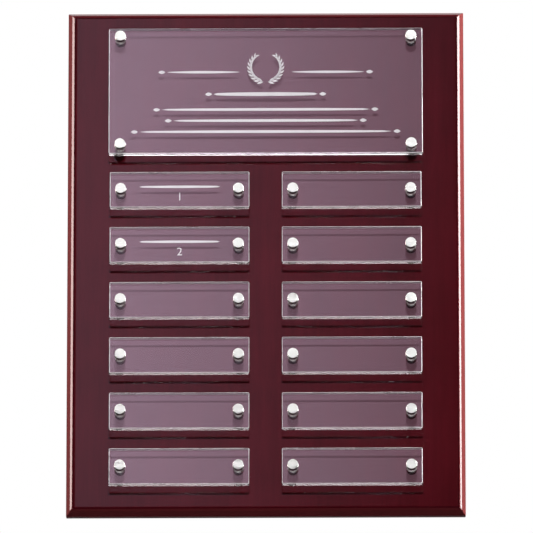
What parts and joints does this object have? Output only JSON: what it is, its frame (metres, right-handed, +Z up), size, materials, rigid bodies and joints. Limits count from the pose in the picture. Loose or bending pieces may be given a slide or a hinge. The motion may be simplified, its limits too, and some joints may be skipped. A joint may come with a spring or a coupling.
{
  "type": "perpetual plaque",
  "caption": "Lacquered wall plaque with a bevelled edge, carrying a clear header plate and a grid of clear name plates on turned metal standoffs whose caps unscrew.",
  "frame": {"origin": "centre of the board's flat back, which lies on the wall", "axes": "+X to the right and +Z up as seen from the front; the front faces -Y and the back +Y"},
  "size_m": [0.3048, 0.0309, 0.4064],
  "materials": {
    "rosewood_lacquer": "high gloss lacquer",
    "clear_acrylic": "polished clear",
    "polished_chrome": "polished",
    "polished_nickel": "polished",
    "zinc_steel": "zinc plated"
  },
  "bodies": {
    "board": {"backboard": "rosewood_lacquer", "header_barrels": "polished_nickel", "column_1_barrels": "polished_nickel", "column_2_barrels": "polished_nickel", "hanger_bolts": "zinc_steel"},
    "header_plate": {"header_plate": "clear_acrylic"},
    "header_cap_1": {"header_cap_1": "polished_chrome"},
    "header_cap_2": {"header_cap_2": "polished_chrome"},
    "header_cap_3": {"header_cap_3": "polished_chrome"},
    "header_cap_4": {"header_cap_4": "polished_chrome"},
    "name_plate_01": {"name_plate_01": "clear_acrylic"},
    "name_cap_01_left": {"name_cap_01_left": "polished_chrome"},
    "name_cap_01_right": {"name_cap_01_right": "polished_chrome"},
    "name_plate_02": {"name_plate_02": "clear_acrylic"},
    "name_cap_02_left": {"name_cap_02_left": "polished_chrome"},
    "name_cap_02_right": {"name_cap_02_right": "polished_chrome"},
    "name_plate_03": {"name_plate_03": "clear_acrylic"},
    "name_cap_03_left": {"name_cap_03_left": "polished_chrome"},
    "name_cap_03_right": {"name_cap_03_right": "polished_chrome"},
    "name_plate_04": {"name_plate_04": "clear_acrylic"},
    "name_cap_04_left": {"name_cap_04_left": "polished_chrome"},
    "name_cap_04_right": {"name_cap_04_right": "polished_chrome"},
    "name_plate_05": {"name_plate_05": "clear_acrylic"},
    "name_cap_05_left": {"name_cap_05_left": "polished_chrome"},
    "name_cap_05_right": {"name_cap_05_right": "polished_chrome"},
    "name_plate_06": {"name_plate_06": "clear_acrylic"},
    "name_cap_06_left": {"name_cap_06_left": "polished_chrome"},
    "name_cap_06_right": {"name_cap_06_right": "polished_chrome"},
    "name_plate_07": {"name_plate_07": "clear_acrylic"},
    "name_cap_07_left": {"name_cap_07_left": "polished_chrome"},
    "name_cap_07_right": {"name_cap_07_right": "polished_chrome"},
    "name_plate_08": {"name_plate_08": "clear_acrylic"},
    "name_cap_08_left": {"name_cap_08_left": "polished_chrome"},
    "name_cap_08_right": {"name_cap_08_right": "polished_chrome"},
    "name_plate_09": {"name_plate_09": "clear_acrylic"},
    "name_cap_09_left": {"name_cap_09_left": "polished_chrome"},
    "name_cap_09_right": {"name_cap_09_right": "polished_chrome"},
    "name_plate_10": {"name_plate_10": "clear_acrylic"},
    "name_cap_10_left": {"name_cap_10_left": "polished_chrome"},
    "name_cap_10_right": {"name_cap_10_right": "polished_chrome"},
    "name_plate_11": {"name_plate_11": "clear_acrylic"},
    "name_cap_11_left": {"name_cap_11_left": "polished_chrome"},
    "name_cap_11_right": {"name_cap_11_right": "polished_chrome"},
    "name_plate_12": {"name_plate_12": "clear_acrylic"},
    "name_cap_12_left": {"name_cap_12_left": "polished_chrome"},
    "name_cap_12_right": {"name_cap_12_right": "polished_chrome"}
  },
  "joints": [
    {"name": "header_plate_lift", "type": "slide", "parent": "board", "child": "header_plate", "axis": [0, -1, 0], "range_m": [0, 0.00397]},
    {"name": "header_cap_1_turn", "type": "hinge", "parent": "header_plate", "child": "header_cap_1", "pos_m": [-0.11185, -0.0267, 0.1771], "axis": [0, -1, 0], "range_deg": [0, 1800]},
    {"name": "header_cap_2_turn", "type": "hinge", "parent": "header_plate", "child": "header_cap_2", "pos_m": [0.11185, -0.0267, 0.1771], "axis": [0, -1, 0], "range_deg": [0, 1800]},
    {"name": "header_cap_3_turn", "type": "hinge", "parent": "header_plate", "child": "header_cap_3", "pos_m": [-0.11185, -0.0267, 0.0896], "axis": [0, -1, 0], "range_deg": [0, 1800]},
    {"name": "header_cap_4_turn", "type": "hinge", "parent": "header_plate", "child": "header_cap_4", "pos_m": [0.11185, -0.0267, 0.0896], "axis": [0, -1, 0], "range_deg": [0, 1800]},
    {"name": "name_plate_01_lift", "type": "slide", "parent": "board", "child": "name_plate_01", "axis": [0, -1, 0], "range_m": [0, 0.00397]},
    {"name": "name_cap_01_left_turn", "type": "hinge", "parent": "name_plate_01", "child": "name_cap_01_left", "pos_m": [-0.1112, -0.0267, 0.05326], "axis": [0, -1, 0], "range_deg": [0, 1800]},
    {"name": "name_cap_01_right_turn", "type": "hinge", "parent": "name_plate_01", "child": "name_cap_01_right", "pos_m": [-0.0208, -0.0267, 0.05326], "axis": [0, -1, 0], "range_deg": [0, 1800]},
    {"name": "name_plate_02_lift", "type": "slide", "parent": "board", "child": "name_plate_02", "axis": [0, -1, 0], "range_m": [0, 0.00397]},
    {"name": "name_cap_02_left_turn", "type": "hinge", "parent": "name_plate_02", "child": "name_cap_02_left", "pos_m": [-0.1112, -0.0267, 0.00881], "axis": [0, -1, 0], "range_deg": [0, 1800]},
    {"name": "name_cap_02_right_turn", "type": "hinge", "parent": "name_plate_02", "child": "name_cap_02_right", "pos_m": [-0.0208, -0.0267, 0.00881], "axis": [0, -1, 0], "range_deg": [0, 1800]},
    {"name": "name_plate_03_lift", "type": "slide", "parent": "board", "child": "name_plate_03", "axis": [0, -1, 0], "range_m": [0, 0.00397]},
    {"name": "name_cap_03_left_turn", "type": "hinge", "parent": "name_plate_03", "child": "name_cap_03_left", "pos_m": [-0.1112, -0.0267, -0.03565], "axis": [0, -1, 0], "range_deg": [0, 1800]},
    {"name": "name_cap_03_right_turn", "type": "hinge", "parent": "name_plate_03", "child": "name_cap_03_right", "pos_m": [-0.0208, -0.0267, -0.03565], "axis": [0, -1, 0], "range_deg": [0, 1800]},
    {"name": "name_plate_04_lift", "type": "slide", "parent": "board", "child": "name_plate_04", "axis": [0, -1, 0], "range_m": [0, 0.00397]},
    {"name": "name_cap_04_left_turn", "type": "hinge", "parent": "name_plate_04", "child": "name_cap_04_left", "pos_m": [-0.1112, -0.0267, -0.0801], "axis": [0, -1, 0], "range_deg": [0, 1800]},
    {"name": "name_cap_04_right_turn", "type": "hinge", "parent": "name_plate_04", "child": "name_cap_04_right", "pos_m": [-0.0208, -0.0267, -0.0801], "axis": [0, -1, 0], "range_deg": [0, 1800]},
    {"name": "name_plate_05_lift", "type": "slide", "parent": "board", "child": "name_plate_05", "axis": [0, -1, 0], "range_m": [0, 0.00397]},
    {"name": "name_cap_05_left_turn", "type": "hinge", "parent": "name_plate_05", "child": "name_cap_05_left", "pos_m": [-0.1112, -0.0267, -0.12456], "axis": [0, -1, 0], "range_deg": [0, 1800]},
    {"name": "name_cap_05_right_turn", "type": "hinge", "parent": "name_plate_05", "child": "name_cap_05_right", "pos_m": [-0.0208, -0.0267, -0.12456], "axis": [0, -1, 0], "range_deg": [0, 1800]},
    {"name": "name_plate_06_lift", "type": "slide", "parent": "board", "child": "name_plate_06", "axis": [0, -1, 0], "range_m": [0, 0.00397]},
    {"name": "name_cap_06_left_turn", "type": "hinge", "parent": "name_plate_06", "child": "name_cap_06_left", "pos_m": [-0.1112, -0.0267, -0.16901], "axis": [0, -1, 0], "range_deg": [0, 1800]},
    {"name": "name_cap_06_right_turn", "type": "hinge", "parent": "name_plate_06", "child": "name_cap_06_right", "pos_m": [-0.0208, -0.0267, -0.16901], "axis": [0, -1, 0], "range_deg": [0, 1800]},
    {"name": "name_plate_07_lift", "type": "slide", "parent": "board", "child": "name_plate_07", "axis": [0, -1, 0], "range_m": [0, 0.00397]},
    {"name": "name_cap_07_left_turn", "type": "hinge", "parent": "name_plate_07", "child": "name_cap_07_left", "pos_m": [0.0208, -0.0267, 0.05326], "axis": [0, -1, 0], "range_deg": [0, 1800]},
    {"name": "name_cap_07_right_turn", "type": "hinge", "parent": "name_plate_07", "child": "name_cap_07_right", "pos_m": [0.1112, -0.0267, 0.05326], "axis": [0, -1, 0], "range_deg": [0, 1800]},
    {"name": "name_plate_08_lift", "type": "slide", "parent": "board", "child": "name_plate_08", "axis": [0, -1, 0], "range_m": [0, 0.00397]},
    {"name": "name_cap_08_left_turn", "type": "hinge", "parent": "name_plate_08", "child": "name_cap_08_left", "pos_m": [0.0208, -0.0267, 0.00881], "axis": [0, -1, 0], "range_deg": [0, 1800]},
    {"name": "name_cap_08_right_turn", "type": "hinge", "parent": "name_plate_08", "child": "name_cap_08_right", "pos_m": [0.1112, -0.0267, 0.00881], "axis": [0, -1, 0], "range_deg": [0, 1800]},
    {"name": "name_plate_09_lift", "type": "slide", "parent": "board", "child": "name_plate_09", "axis": [0, -1, 0], "range_m": [0, 0.00397]},
    {"name": "name_cap_09_left_turn", "type": "hinge", "parent": "name_plate_09", "child": "name_cap_09_left", "pos_m": [0.0208, -0.0267, -0.03565], "axis": [0, -1, 0], "range_deg": [0, 1800]},
    {"name": "name_cap_09_right_turn", "type": "hinge", "parent": "name_plate_09", "child": "name_cap_09_right", "pos_m": [0.1112, -0.0267, -0.03565], "axis": [0, -1, 0], "range_deg": [0, 1800]},
    {"name": "name_plate_10_lift", "type": "slide", "parent": "board", "child": "name_plate_10", "axis": [0, -1, 0], "range_m": [0, 0.00397]},
    {"name": "name_cap_10_left_turn", "type": "hinge", "parent": "name_plate_10", "child": "name_cap_10_left", "pos_m": [0.0208, -0.0267, -0.0801], "axis": [0, -1, 0], "range_deg": [0, 1800]},
    {"name": "name_cap_10_right_turn", "type": "hinge", "parent": "name_plate_10", "child": "name_cap_10_right", "pos_m": [0.1112, -0.0267, -0.0801], "axis": [0, -1, 0], "range_deg": [0, 1800]},
    {"name": "name_plate_11_lift", "type": "slide", "parent": "board", "child": "name_plate_11", "axis": [0, -1, 0], "range_m": [0, 0.00397]},
    {"name": "name_cap_11_left_turn", "type": "hinge", "parent": "name_plate_11", "child": "name_cap_11_left", "pos_m": [0.0208, -0.0267, -0.12456], "axis": [0, -1, 0], "range_deg": [0, 1800]},
    {"name": "name_cap_11_right_turn", "type": "hinge", "parent": "name_plate_11", "child": "name_cap_11_right", "pos_m": [0.1112, -0.0267, -0.12456], "axis": [0, -1, 0], "range_deg": [0, 1800]},
    {"name": "name_plate_12_lift", "type": "slide", "parent": "board", "child": "name_plate_12", "axis": [0, -1, 0], "range_m": [0, 0.00397]},
    {"name": "name_cap_12_left_turn", "type": "hinge", "parent": "name_plate_12", "child": "name_cap_12_left", "pos_m": [0.0208, -0.0267, -0.16901], "axis": [0, -1, 0], "range_deg": [0, 1800]},
    {"name": "name_cap_12_right_turn", "type": "hinge", "parent": "name_plate_12", "child": "name_cap_12_right", "pos_m": [0.1112, -0.0267, -0.16901], "axis": [0, -1, 0], "range_deg": [0, 1800]}
  ],
  "couplings": [
    {"joint": "header_cap_1_turn", "follows": "header_plate_lift", "rad_per_m": 7915.8},
    {"joint": "header_cap_2_turn", "follows": "header_plate_lift", "rad_per_m": 7915.8},
    {"joint": "header_cap_3_turn", "follows": "header_plate_lift", "rad_per_m": 7915.8},
    {"joint": "header_cap_4_turn", "follows": "header_plate_lift", "rad_per_m": 7915.8},
    {"joint": "name_cap_01_left_turn", "follows": "name_plate_01_lift", "rad_per_m": 7915.8},
    {"joint": "name_cap_01_right_turn", "follows": "name_plate_01_lift", "rad_per_m": 7915.8},
    {"joint": "name_cap_02_left_turn", "follows": "name_plate_02_lift", "rad_per_m": 7915.8},
    {"joint": "name_cap_02_right_turn", "follows": "name_plate_02_lift", "rad_per_m": 7915.8},
    {"joint": "name_cap_03_left_turn", "follows": "name_plate_03_lift", "rad_per_m": 7915.8},
    {"joint": "name_cap_03_right_turn", "follows": "name_plate_03_lift", "rad_per_m": 7915.8},
    {"joint": "name_cap_04_left_turn", "follows": "name_plate_04_lift", "rad_per_m": 7915.8},
    {"joint": "name_cap_04_right_turn", "follows": "name_plate_04_lift", "rad_per_m": 7915.8},
    {"joint": "name_cap_05_left_turn", "follows": "name_plate_05_lift", "rad_per_m": 7915.8},
    {"joint": "name_cap_05_right_turn", "follows": "name_plate_05_lift", "rad_per_m": 7915.8},
    {"joint": "name_cap_06_left_turn", "follows": "name_plate_06_lift", "rad_per_m": 7915.8},
    {"joint": "name_cap_06_right_turn", "follows": "name_plate_06_lift", "rad_per_m": 7915.8},
    {"joint": "name_cap_07_left_turn", "follows": "name_plate_07_lift", "rad_per_m": 7915.8},
    {"joint": "name_cap_07_right_turn", "follows": "name_plate_07_lift", "rad_per_m": 7915.8},
    {"joint": "name_cap_08_left_turn", "follows": "name_plate_08_lift", "rad_per_m": 7915.8},
    {"joint": "name_cap_08_right_turn", "follows": "name_plate_08_lift", "rad_per_m": 7915.8},
    {"joint": "name_cap_09_left_turn", "follows": "name_plate_09_lift", "rad_per_m": 7915.8},
    {"joint": "name_cap_09_right_turn", "follows": "name_plate_09_lift", "rad_per_m": 7915.8},
    {"joint": "name_cap_10_left_turn", "follows": "name_plate_10_lift", "rad_per_m": 7915.8},
    {"joint": "name_cap_10_right_turn", "follows": "name_plate_10_lift", "rad_per_m": 7915.8},
    {"joint": "name_cap_11_left_turn", "follows": "name_plate_11_lift", "rad_per_m": 7915.8},
    {"joint": "name_cap_11_right_turn", "follows": "name_plate_11_lift", "rad_per_m": 7915.8},
    {"joint": "name_cap_12_left_turn", "follows": "name_plate_12_lift", "rad_per_m": 7915.8},
    {"joint": "name_cap_12_right_turn", "follows": "name_plate_12_lift", "rad_per_m": 7915.8}
  ]
}
